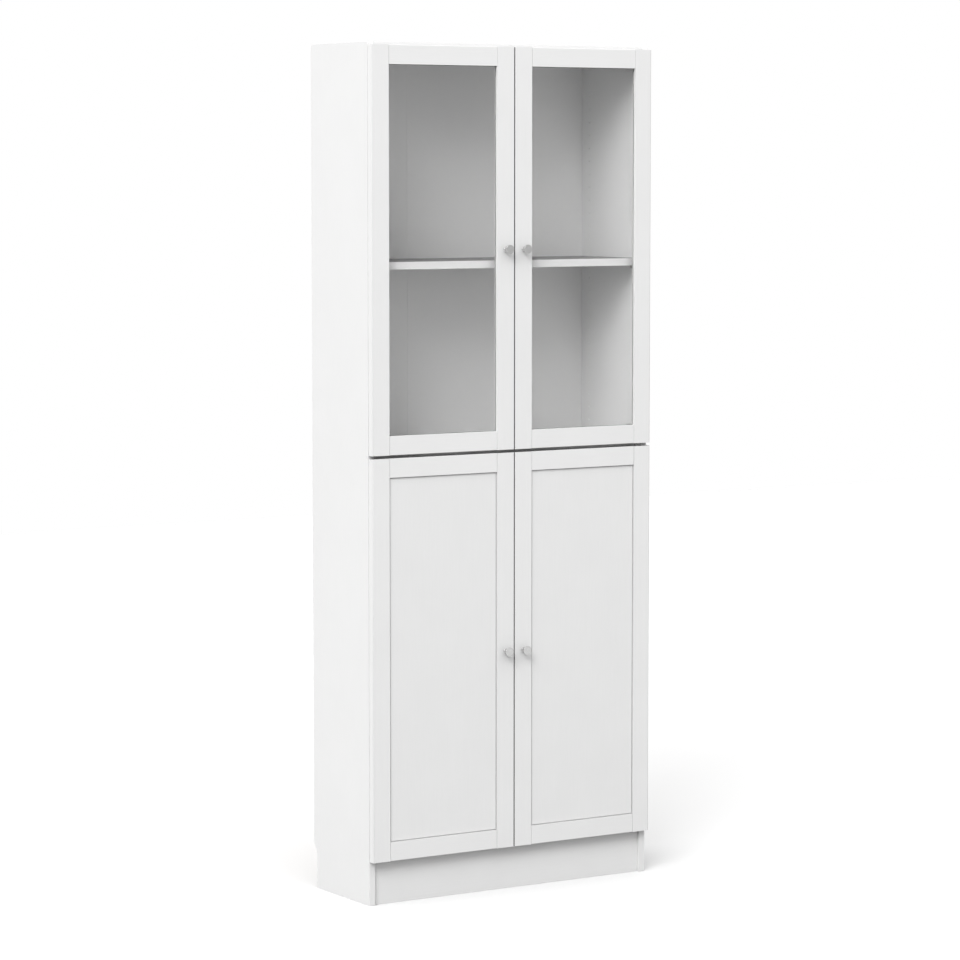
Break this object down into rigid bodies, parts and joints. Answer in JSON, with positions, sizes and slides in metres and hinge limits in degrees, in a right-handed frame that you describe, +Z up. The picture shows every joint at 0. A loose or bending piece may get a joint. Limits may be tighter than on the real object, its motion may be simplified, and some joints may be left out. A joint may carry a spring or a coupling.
{
  "type": "glazed bookcase cabinet",
  "caption": "Tall white bookcase cabinet: board carcass with shelves, glazed framed doors above, panelled framed doors below, concealed hinges and small round knobs.",
  "frame": {"origin": "on the floor, under the middle of the object's whole footprint, doors and knobs included", "axes": "+Z up, +Y from the doors to the back, +X to the right seen from the front"},
  "size_m": [0.785, 0.3038, 2.02],
  "materials": {
    "board": "white melamine-faced particleboard, satin",
    "hardboard": "white painted hardboard inside, matt",
    "frame": "white lacquered fibreboard, satin",
    "panel": "white lacquered thin board, satin",
    "glass": "clear float glass",
    "knob": "satin turned metal",
    "steel": "nickel-plated pressed steel"
  },
  "bodies": {
    "root": {"side_left": "board", "side_right": "board", "top_panel": "board", "bottom_panel": "board", "fixed_shelf": "board", "upper_shelf": "board", "lower_shelf": "board", "plinth": "board", "back_panel": "hardboard", "upper_left_front_shelf_pin": "steel", "upper_left_back_shelf_pin": "steel", "upper_left_top_hinge_arm": "steel", "upper_left_bottom_hinge_arm": "steel", "upper_right_front_shelf_pin": "steel", "upper_right_back_shelf_pin": "steel", "upper_right_top_hinge_arm": "steel", "upper_right_bottom_hinge_arm": "steel", "lower_left_front_shelf_pin": "steel", "lower_left_back_shelf_pin": "steel", "lower_left_top_hinge_arm": "steel", "lower_left_bottom_hinge_arm": "steel", "lower_right_front_shelf_pin": "steel", "lower_right_back_shelf_pin": "steel", "lower_right_top_hinge_arm": "steel", "lower_right_bottom_hinge_arm": "steel"},
    "upper_left_door": {"upper_left_hinge_stile": "frame", "upper_left_meeting_stile": "frame", "upper_left_top_rail": "frame", "upper_left_bottom_rail": "frame", "upper_left_glass_pane": "glass", "upper_left_knob": "knob", "upper_left_top_hinge_cup": "steel", "upper_left_bottom_hinge_cup": "steel"},
    "upper_right_door": {"upper_right_hinge_stile": "frame", "upper_right_meeting_stile": "frame", "upper_right_top_rail": "frame", "upper_right_bottom_rail": "frame", "upper_right_glass_pane": "glass", "upper_right_knob": "knob", "upper_right_top_hinge_cup": "steel", "upper_right_bottom_hinge_cup": "steel"},
    "lower_left_door": {"lower_left_hinge_stile": "frame", "lower_left_meeting_stile": "frame", "lower_left_top_rail": "frame", "lower_left_bottom_rail": "frame", "lower_left_infill_panel": "panel", "lower_left_knob": "knob", "lower_left_top_hinge_cup": "steel", "lower_left_bottom_hinge_cup": "steel"},
    "lower_right_door": {"lower_right_hinge_stile": "frame", "lower_right_meeting_stile": "frame", "lower_right_top_rail": "frame", "lower_right_bottom_rail": "frame", "lower_right_infill_panel": "panel", "lower_right_knob": "knob", "lower_right_top_hinge_cup": "steel", "lower_right_bottom_hinge_cup": "steel"}
  },
  "joints": [
    {"name": "upper_left_door_hinge", "type": "hinge", "parent": "root", "child": "upper_left_door", "pos_m": [-0.388, -0.1241, 1.53805], "axis": [0, 0, -1], "range_deg": [0, 110]},
    {"name": "upper_right_door_hinge", "type": "hinge", "parent": "root", "child": "upper_right_door", "pos_m": [0.388, -0.1241, 1.53805], "axis": [0, 0, 1], "range_deg": [0, 110]},
    {"name": "lower_left_door_hinge", "type": "hinge", "parent": "root", "child": "lower_left_door", "pos_m": [-0.388, -0.1241, 0.58025], "axis": [0, 0, -1], "range_deg": [0, 110]},
    {"name": "lower_right_door_hinge", "type": "hinge", "parent": "root", "child": "lower_right_door", "pos_m": [0.388, -0.1241, 0.58025], "axis": [0, 0, 1], "range_deg": [0, 110]}
  ]
}
